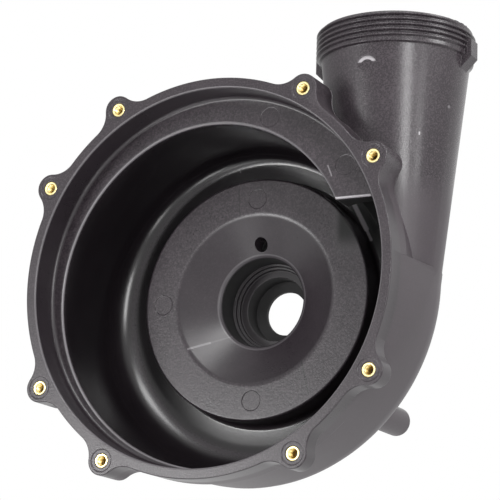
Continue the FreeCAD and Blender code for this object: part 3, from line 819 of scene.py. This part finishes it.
def water_space(settings):
    """Channel, disc space, funnel, seal bore and shaft hole, all in one wrapped grid."""
    channel, centre, flange = settings.channel, settings.centre, settings.flange
    deep = centre.seal_depth
    ring, drop = centre.ring, centre.ring_drop
    back = centre.hub_end + CLEAR
    front = flange.ledge - flange.register_round
    edge = 0.0003
    inner = [
        (0, back, 0),
        (centre.shaft, back, 0),
        (centre.shaft, centre.seat_end + centre.seat_slope, edge),
        (centre.seat, centre.seat_end, edge),
        (centre.seat, deep + 2 * drop, edge),
        (centre.seal - 2 * ring, deep + 2 * drop, edge),
        (centre.seal - 2 * ring, deep + drop, edge),
        (centre.seal - ring, deep + drop, edge),
        (centre.seal - ring, deep, edge),
        (centre.seal, deep, edge),
        (centre.seal, centre.eye_depth + centre.eye - centre.seal, 0.0004),
        (centre.eye, centre.eye_depth, 0.0004),
        (centre.funnel, centre.disc_depth, centre.funnel_edge),
        (centre.disc, centre.disc_depth, centre.disc_edge),
        (centre.disc, channel.floor, centre.foot),
    ]
    limit = flange.register - 0.0003
    # The lip's round ends just past the ledge, so that no sliver stays between the two tools
    past = 1.02
    columns = []
    for angle, radius, floor_round in outline(channel, settings.outlet, 0.0):
        lip = max(0.0, min(channel.lip, limit - radius))
        near, far = flared(settings, radius, flange.ledge + lip, channel.flare_start, 0.0)
        mouth = min(near[0] + lip, limit)
        corners = inner + [(radius, channel.floor, floor_round), far + (0,), near + (0,)]
        path = round_corners(corners)
        for number in range(1, 5):
            tilt = math.radians(90 * number / 4)
            across = near[0] + lip * (1 - math.cos(tilt))
            path.append(Vector((across, flange.ledge + lip - past * lip * math.sin(tilt))))
        path += [Vector((mouth, flange.ledge - 0.0004)), Vector((mouth, front)), Vector((0, front))]
        columns.append((angle, path))
    return wrap("water_space", columns)


def register_space(settings):
    """The register bore from the open face down to the ledge."""
    flange = settings.flange
    mouth = flange.register + flange.mouth_round + CLEAR
    corners = [
        (mouth, -CLEAR, 0),
        (mouth, -0.00002, 0),
        (flange.register, -0.00002, flange.mouth_round),
        (flange.register, flange.ledge, flange.register_round),
    ]
    return turn("register_space", corners, steps=360)


def outlet_space(settings):
    """The water way of the outlet, with the edge of its rim rounded."""
    outlet, channel = settings.outlet, settings.channel
    taper = (outlet.neck - outlet.root) / outlet.neck_height
    start = channel.start * math.sin(math.radians(CUTWATER)) - 0.0004
    inside = outlet.root - channel.wall
    top = outlet.rim_height
    mouth = inside + taper * top
    corners = [
        (inside + taper * start, start, 0),
        (mouth, top, 0.0008),
        (mouth + 0.002, top - 0.00002, 0),
        (mouth + 0.002, top + 0.002, 0),
    ]
    return turn("outlet_space", corners, (outlet.offset, outlet.depth, 0), upright=True)


def small_holes(settings):
    """Insert holes with their recesses, the vent and the boss holes."""
    flange, centre = settings.flange, settings.centre
    mouth = flange.recess + 0.0003
    corners = [
        (mouth, -CLEAR, 0),
        (mouth, -0.00001, 0),
        (flange.recess, 0.0002, 0),
        (flange.recess, flange.recess_depth, 0.0001),
        (flange.insert_hole, flange.recess_depth, 0),
        (flange.insert_hole, flange.insert_hole_end, 0),
    ]
    places = [polar(flange.pitch, angle) for angle in insert_angles()]
    holes = [turn("insert_hole", corners, place, steps=64) for place in places]
    start = centre.disc_depth - 0.003
    holes.append(rod("vent", centre.vent, start, centre.vent_end, 0.0, centre.vent_height))
    corners = [
        (centre.boss_hole, centre.boss_end - centre.boss_hole_depth, 0),
        (centre.boss_hole, centre.boss_end - 0.0005, 0),
        (centre.boss_hole + 0.0007, centre.boss_end + 0.0002, 0),
    ]
    for x, z in boss_places(centre):
        holes.append(turn("boss_hole", corners, (x, 0.0, z), steps=48))
    return join(holes)


def pin_marks(settings):
    """Shallow round marks that the mould's ejector pins leave."""
    flange, centre = settings.flange, settings.centre
    marks = []
    for degrees, radius, depth in (
        (72, 0.0816, flange.ledge),
        (38, 0.0821, flange.ledge),
        (90, 0.050, centre.disc_depth),
        (180, 0.050, centre.disc_depth),
        (270, 0.050, centre.disc_depth),
    ):
        corners = [
            (PIN, depth - CLEAR, 0),
            (PIN, depth - 0.00005, 0),
            (PIN_GROOVE, depth + PIN_DEPTH, 0),
        ]
        place = polar(radius, math.radians(degrees))
        marks.append(turn("pin_mark", corners, place, steps=64))
    return join(marks)


def outlet_mark(settings):
    """The flat-bottomed pin mark on the front of the outlet, deepest at its top."""
    outlet = settings.outlet
    rise = outlet.mark_height / outlet.neck_height
    surface = outlet.depth - outlet.root - (outlet.neck - outlet.root) * rise
    front, end = surface - 0.004, surface + 0.0004
    place = outlet.mark_place, outlet.mark_height
    return rod("outlet_mark", outlet.mark, front, end, *place, steps=64, edge=0.0002)


# Materials


class Wire:
    """A socket whose sums and products add Math nodes to its own tree."""

    def __init__(self, finish, socket):
        self.finish = finish
        self.socket = socket

    def __add__(self, other):
        return self.finish.math("ADD", self, other)

    def __radd__(self, other):
        return self.finish.math("ADD", other, self)

    def __sub__(self, other):
        return self.finish.math("SUBTRACT", self, other)

    def __rsub__(self, other):
        return self.finish.math("SUBTRACT", other, self)

    def __mul__(self, other):
        return self.finish.math("MULTIPLY", self, other)

    def __rmul__(self, other):
        return self.finish.math("MULTIPLY", other, self)

    def ramp(self, low, high):
        """0 at one value and 1 at another, smooth between them, whichever is higher."""
        settings = {"interpolation_type": "SMOOTHSTEP"}
        node = self.finish.node("ShaderNodeMapRange", settings, {0: self, 1: low, 2: high})
        return node.wire(0)


class Placed:
    """A node in a finish, read by its outputs."""

    def __init__(self, finish, node):
        self.finish = finish
        self.node = node

    def wire(self, output):
        return Wire(self.finish, self.node.outputs[output])


class Finish:
    """The node tree of a material or a world, filled node by node."""

    def __init__(self, owner):
        owner.use_nodes = True
        self.owner = owner
        self.tree = owner.node_tree
        self.tree.nodes.clear()

    def node(self, kind, settings=None, inputs=()):
        """A node with its settings, and then the values or links of its sockets."""
        node = self.tree.nodes.new(kind)
        for name, setting in (settings or {}).items():
            setattr(node, name, setting)
        pairs = inputs.items() if isinstance(inputs, dict) else enumerate(inputs)
        for key, entry in pairs:
            if isinstance(entry, Wire):
                self.tree.links.new(entry.socket, node.inputs[key])
            else:
                node.inputs[key].default_value = entry
        return Placed(self, node)

    def math(self, operation, *values):
        return self.node("ShaderNodeMath", {"operation": operation}, values).wire(0)

    def split(self, vector):
        """The three numbers of a vector."""
        node = self.node("ShaderNodeSeparateXYZ", None, [vector])
        return [node.wire(number) for number in range(3)]

    def blend(self, share, first, second):
        """Mix two colours."""
        settings = {"data_type": "RGBA"}
        return self.node("ShaderNodeMix", settings, {0: share, 6: first, 7: second}).wire(2)

    def vector(self, operation, *values):
        return self.node("ShaderNodeVectorMath", {"operation": operation}, dict(enumerate(values)))

    def near(self, place, start, end, half):
        """1 within half a width of the line from start to end, and 0 beyond it."""
        line = Vector(end) - Vector(start)
        away = self.vector("SUBTRACT", place, start).wire(0)
        share = self.vector("DOT_PRODUCT", away, line / line.length_squared).wire(1)
        limited = self.node("ShaderNodeClamp", None, [share]).wire(0)
        scaled = self.node("ShaderNodeVectorMath", {"operation": "SCALE"}, {0: line, 3: limited})
        distance = self.vector("DISTANCE", away, scaled.wire(0)).wire(1)
        return distance.ramp(half * 1.2, half * 0.5)

    def mask(self, reads, steps):
        """The product of its steps, each a ramp of what it reads."""
        product = 1.0
        for name, low, high in steps:
            product = product * reads[name].ramp(low, high)
        return product

    def noise(self, place, scale, detail=2.0, rough=0.5):
        inputs = {"Vector": place, "Scale": scale, "Detail": detail, "Roughness": rough}
        return self.node("ShaderNodeTexNoise", None, inputs).wire("Fac")

    def finish_with(self, shader, output="ShaderNodeOutputMaterial"):
        self.node(output, None, {"Surface": shader.wire(0)})
        return self.owner


def rgba(shade):
    """A colour with its fourth number."""
    return (shade[0], shade[1], shade[2], 1.0)


def new_finish(name):
    """The finish of a new material."""
    return Finish(bpy.data.materials.new(name))


def plastic_finish(settings):
    """Glass-filled plastic: satin, speckled where flat, with flow clouds and soft edges."""
    colours, outlet = settings.colours, settings.outlet
    finish = new_finish("glass_filled_plastic")
    place = finish.node("ShaderNodeTexCoord").wire("Object")
    x, depth, z = finish.split(place)
    right, back, up = finish.split(finish.node("ShaderNodeNewGeometry").wire("Normal"))
    mark = (outlet.mark_place, outlet.mark_depth, outlet.mark_height)
    reads = {
        "x": x,
        "z": z,
        "depth": depth,
        "radius": finish.math("SQRT", x * x + z * z),
        "back": back,
        "up": up,
        "inward": 0 - x * right - z * up,
        "from_mark": finish.vector("DISTANCE", place, mark).wire(1),
    }
    masks = {name: finish.mask(reads, steps) for name, steps in MASKS.items()}
    clouds = finish.noise(place, 38.0, 3.0, 0.6)
    grain = finish.noise(place, 1300.0, 2.0, 0.6)
    fibres = finish.noise(place, 620.0, 4.0, 0.7)
    flat = finish.math("ABSOLUTE", back).ramp(0.95, 0.995)
    speckled = finish.math("MAXIMUM", flat, masks["outlet"]) * (1 - masks["channel_floor"])
    inside = (1 - masks["outlet_side"]) * masks["before_the_back"]
    channel = (masks["channel_wall"] + masks["channel_floor"]) * masks["casing"] * inside
    outside = masks["outside"] * (1 - masks["outlet"])
    eye = masks["eye"] * (1 - masks["seal_steps"] * 0.5)
    throat = masks["throat"] * inside
    speckle = grain.ramp(0.40, 0.70) * (0.15 + speckled * 0.75)
    fibre_spots = fibres.ramp(0.52, 0.72) * 0.20
    lighter = fibre_spots + clouds.ramp(0.35, 0.75) * 0.20 + speckle + outside * 0.45
    # Painted highlights on the lip, the register's mouth, the funnel's edge, the flange's back edge
    # and the outlet's mark
    painted_highlight_and_lines = sum(masks[name] * light for name, light in PAINTED_HIGHLIGHTS.items())
    # Painted shade in the eye, the throat and the channel, away from the lip
    painted_shade_and_dark_lines = eye * 0.9 + throat + channel * (1 - masks["lip"]) * 0.6
    # Light lines and painted highlights go to the light grey, dark lines to the black of the
    # painted shade
    for start, end, half, light in MARKS_AND_PAINTED_HIGHLIGHTS:
        streak = finish.near(place, start, end, half)
        if light > 0:
            painted_highlight_and_lines = painted_highlight_and_lines + streak * light
        else:
            painted_shade_and_dark_lines = painted_shade_and_dark_lines - streak * light
    base = finish.blend(lighter, rgba(colours.plastic), rgba(colours.dusty))
    # Painted shade: the base blended towards black
    base = finish.blend(painted_shade_and_dark_lines, base, PAINTED_SHADE_BLACK)
    # Painted highlights and light lines: the base blended towards light grey
    base = finish.blend(painted_highlight_and_lines, base, rgba(colours.painted_highlight_and_lines))
    shaded = masks["outlet"] * masks["outlet_left"]
    gloss = channel * 0.08 - outside * 0.12 + masks["outlet"] * 0.03 - shaded * 0.25
    mottle = (grain - 0.5) * 0.10 + (clouds - 0.5) * 0.08
    corner = finish.node("ShaderNodeBevel", {"samples": 6}, {"Radius": 0.0005})
    relief = {
        "Strength": 0.15 + speckled * 0.40,
        "Distance": 0.00015,
        "Height": grain * 0.6 + fibres * 0.4,
        "Normal": corner.wire(0),
    }
    surface = {
        "Base Color": base,
        "Roughness": 0.30 - gloss + (eye + throat) * 0.4 + mottle,
        "IOR": 1.5,
        "Normal": finish.node("ShaderNodeBump", None, relief).wire(0),
    }
    return finish.finish_with(finish.node("ShaderNodeBsdfPrincipled", None, surface))


def brass_finish(colours):
    """Turned brass with faint tool marks, darker deeper into the insert and in faint clouds."""
    finish = new_finish("turned_brass")
    place = finish.node("ShaderNodeTexCoord").wire("Object")
    clouds = finish.noise(place, 900.0, 3.0, 0.6)
    marks = finish.noise(place, 5200.0, 2.0, 0.5)
    depth = finish.split(place)[1]
    deep_and_cloud_darkening = depth.ramp(0.0006, 0.004) * 0.75 + clouds.ramp(0.5, 0.75) * 0.20
    relief = {"Strength": 0.2, "Distance": 0.00004, "Height": marks}
    surface = {
        "Base Color": finish.blend(deep_and_cloud_darkening, rgba(colours.brass), rgba(colours.darker_brass)),
        "Roughness": 0.24 + clouds * 0.18,
        "Metallic": 1.0,
        "Normal": finish.node("ShaderNodeBump", None, relief).wire(0),
    }
    return finish.finish_with(finish.node("ShaderNodeBsdfPrincipled", None, surface))


def floor_finish(colours):
    """A pale floor that only the camera sees, and only from above."""
    finish = new_finish("studio_floor")
    seen = finish.node("ShaderNodeLightPath").wire("Is Camera Ray")
    hidden = 1 - seen * (1 - finish.node("ShaderNodeNewGeometry").wire("Backfacing"))
    place = finish.node("ShaderNodeTexCoord").wire("Object")
    cloud = finish.noise(place, 3.0)
    pale = finish.blend(cloud * 0.15, rgba(colours.studio), (0.80, 0.80, 0.80, 1.0))
    matt = finish.node("ShaderNodeBsdfDiffuse", None, {"Color": pale})
    clear = finish.node("ShaderNodeBsdfTransparent")
    shader = finish.node("ShaderNodeMixShader", None, [hidden, matt.wire(0), clear.wire(0)])
    return finish.finish_with(shader)


# Operators


class CASING_OT_moulding(bpy.types.Operator):
    """Model the one-piece plastic moulding and let it stand for its solid"""

    bl_idname = "casing.moulding"
    bl_label = "Moulding"

    def execute(self, context):
        settings = context.scene.casing
        flange, channel = settings.flange, settings.channel
        centre, outlet = settings.centre, settings.outlet
        casing = spiral_outside(settings)
        rim = combine(flange_outside(flange), ear_cuts(flange), "DIFFERENCE")
        for part in (outlet_outside(outlet), outlet_thread(outlet), outlet_bars(outlet), rim):
            combine(casing, part, "UNION")
        combine(casing, back_recess(centre, channel), "DIFFERENCE")
        combine(casing, hub_outside(centre, channel), "UNION")
        combine(casing, hub_ribs(centre, channel), "UNION")
        wall = channel.wall
        start, end = centre.disc_depth + wall, centre.vent_end + wall
        vent = rod("vent_boss", centre.vent + wall, start, end, 0.0, centre.vent_height, 48, 0.0005)
        combine(casing, vent, "UNION")
        bosses = [
            rod("boss", centre.boss, outlet.depth, centre.boss_end, x, z, 64, 0.0005)
            for x, z in boss_places(centre)
        ]
        combine(casing, join(bosses), "UNION")
        hollows = (water_space, register_space, outlet_space, small_holes, pin_marks, outlet_mark)
        for hollow in hollows:
            combine(casing, hollow(settings), "DIFFERENCE")
        close_up(casing)
        smooth(casing, 32)
        casing.name = "casing_moulding"
        casing.data.materials.clear()
        casing.data.materials.append(plastic_finish(settings))
        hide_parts("volute_casing")
        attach(casing, "root")
        return {"FINISHED"}


class CASING_OT_inserts(bpy.types.Operator):
    """Model one threaded brass insert and set a copy of it in each ear"""

    bl_idname = "casing.inserts"
    bl_label = "Brass inserts"

    def execute(self, context):
        settings = context.scene.casing
        insert, flange = settings.insert, settings.flange
        front = flange.recess_depth
        back = front + insert.long
        bore, root = insert.bore, insert.bore + insert.thread
        corners = [
            (insert.outside, (front + back) / 2, 0.0),
            (insert.outside, back, 0.0003),
            (root, back, 0.0),
        ]
        along = back - 0.0004
        while along - insert.pitch > front + insert.chamfer:
            corners += [(root, along, 0.0), (bore, along - insert.pitch * 0.5, 0.0)]
            along -= insert.pitch
        corners += [
            (bore, front + insert.chamfer, 0.0),
            (bore + insert.chamfer, front, 0.0001),
            (insert.outside - insert.edge, front, 0.0),
            (insert.outside, front + insert.edge, 0.0),
        ]
        pattern = turn("insert_pattern", corners, steps=72, ring=True)
        smooth(pattern, 35)
        pattern.data.materials.append(brass_finish(settings.colours))
        for name, angle in zip(INSERTS, insert_angles()):
            copy = bpy.data.objects.new(name.replace("cover", "brass"), pattern.data.copy())
            context.collection.objects.link(copy)
            move = Matrix.Translation(polar(flange.pitch, angle))
            copy.data.transform(move @ Matrix.Rotation(-angle, 4, "Y"))
            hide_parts(name)
            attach(copy, "root")
        bpy.data.objects.remove(pattern)
        return {"FINISHED"}


class CASING_OT_studio(bpy.types.Operator):
    """Set up the floor, the soft lamps, the pale surroundings and the camera"""

    bl_idname = "casing.studio"
    bl_label = "Studio"

    def execute(self, context):
        settings = context.scene.casing
        deselect()
        bpy.ops.mesh.primitive_circle_add(
            vertices=64, radius=3.0, fill_type="NGON", location=(0, 0, cad_box[0][2])
        )
        floor = bpy.context.object
        floor.name = "studio_floor"
        floor.data.materials.append(floor_finish(settings.colours))
        for name, around, off, wide, tall, glow in LAMPS:
            add_lamp(name, math.radians(around), math.radians(off), wide, tall, glow)
        light_the_world()
        place_camera()
        context.scene.view_settings.view_transform = "Standard"
        return {"FINISHED"}


def add_lamp(name, around, off, wide, tall, glow):
    """A soft lamp at an angle off the pump axis, in front of the open flange."""
    lamp = bpy.data.lights.new(name, "AREA")
    lamp.shape = "RECTANGLE"
    lamp.size = wide
    lamp.size_y = tall
    lamp.energy = glow * math.pi * wide * tall
    stand = bpy.data.objects.new(name, lamp)
    bpy.context.collection.objects.link(stand)
    out = polar(math.sin(off), around) - Vector((0.0, math.cos(off), 0.0))
    stand.location = Vector(LAMP_TARGET) + out * LAMP_DISTANCE
    stand.rotation_euler = (-out).to_track_quat("-Z", "Y").to_euler()
    stand.visible_camera = False


def light_the_world():
    """A soft glow, plain white to the camera and where metal or glass shows the distance."""
    world = bpy.data.worlds.new("studio_surroundings")
    bpy.context.scene.world = world
    finish = Finish(world)
    path = finish.node("ShaderNodeLightPath")
    seen = path.wire("Is Camera Ray")
    for way in ("Is Glossy Ray", "Is Transmission Ray"):
        seen = finish.math("MAXIMUM", seen, path.wire(way))
    white = (1.0, 1.0, 1.0, 1.0)
    glow, backdrop = [
        finish.node("ShaderNodeBackground", None, {"Color": white, "Strength": strength}).wire(0)
        for strength in (WORLD_GLOW, 1.0)
    ]
    mix = finish.node("ShaderNodeMixShader", None, [seen, glow, backdrop])
    finish.finish_with(mix, "ShaderNodeOutputWorld")


def place_camera():
    """The camera at the photograph's own place and angle."""
    view = bpy.data.cameras.new("photo_camera")
    view.sensor_width = 36.0
    view.lens = CAMERA_LENS
    view.clip_start = 0.01
    view.clip_end = 50.0
    stand = bpy.data.objects.new("photo_camera", view)
    bpy.context.collection.objects.link(stand)
    right, up = Vector(CAMERA_RIGHT), Vector(CAMERA_UP)
    turned = Matrix((right, up, right.cross(up))).transposed()
    stand.matrix_world = Matrix.Translation(CAMERA_PLACE) @ turned.to_4x4()
    bpy.context.scene.camera = stand


class CasingSettings(bpy.types.PropertyGroup):
    """All sizes and colours of the casing."""

    flange: PointerProperty(type=FlangeSizes, name="Flange", description="Open flange")
    channel: PointerProperty(type=ChannelSizes, name="Channel", description="Spiral channel")
    centre: PointerProperty(type=CentreSizes, name="Centre", description="Disc, funnel and hub")
    outlet: PointerProperty(type=OutletSizes, name="Outlet", description="Outlet and thread")
    insert: PointerProperty(type=InsertSizes, name="Insert", description="Brass insert")
    colours: PointerProperty(type=FinishColours, name="Colours", description="Colours")


class CASING_PT_sidebar(bpy.types.Panel):
    """The casing's pieces and sizes"""

    bl_idname = "CASING_PT_sidebar"
    bl_label = "Casing"
    bl_space_type = "VIEW_3D"
    bl_region_type = "UI"
    bl_category = "Casing"

    def draw(self, context):
        layout = self.layout
        for operator in OPERATORS:
            layout.operator(operator.bl_idname)
        for group in CasingSettings.__annotations__:
            box = layout.box()
            settings = getattr(context.scene.casing, group)
            for name in settings.__annotations__:
                box.prop(settings, name)


OPERATORS = (CASING_OT_moulding, CASING_OT_inserts, CASING_OT_studio)
GROUPS = (FlangeSizes, ChannelSizes, CentreSizes, OutletSizes, InsertSizes, FinishColours)
CLASSES = GROUPS + (CasingSettings,) + OPERATORS + (CASING_PT_sidebar,)


def register():
    for item in CLASSES:
        bpy.utils.register_class(item)
    bpy.types.Scene.casing = PointerProperty(type=CasingSettings)


def unregister():
    del bpy.types.Scene.casing
    for item in reversed(CLASSES):
        bpy.utils.unregister_class(item)


def main():
    """Build every piece and the stage."""
    register()
    bpy.ops.casing.moulding()
    bpy.ops.casing.inserts()
    bpy.ops.casing.studio()


if __name__ == "__main__":
    main()
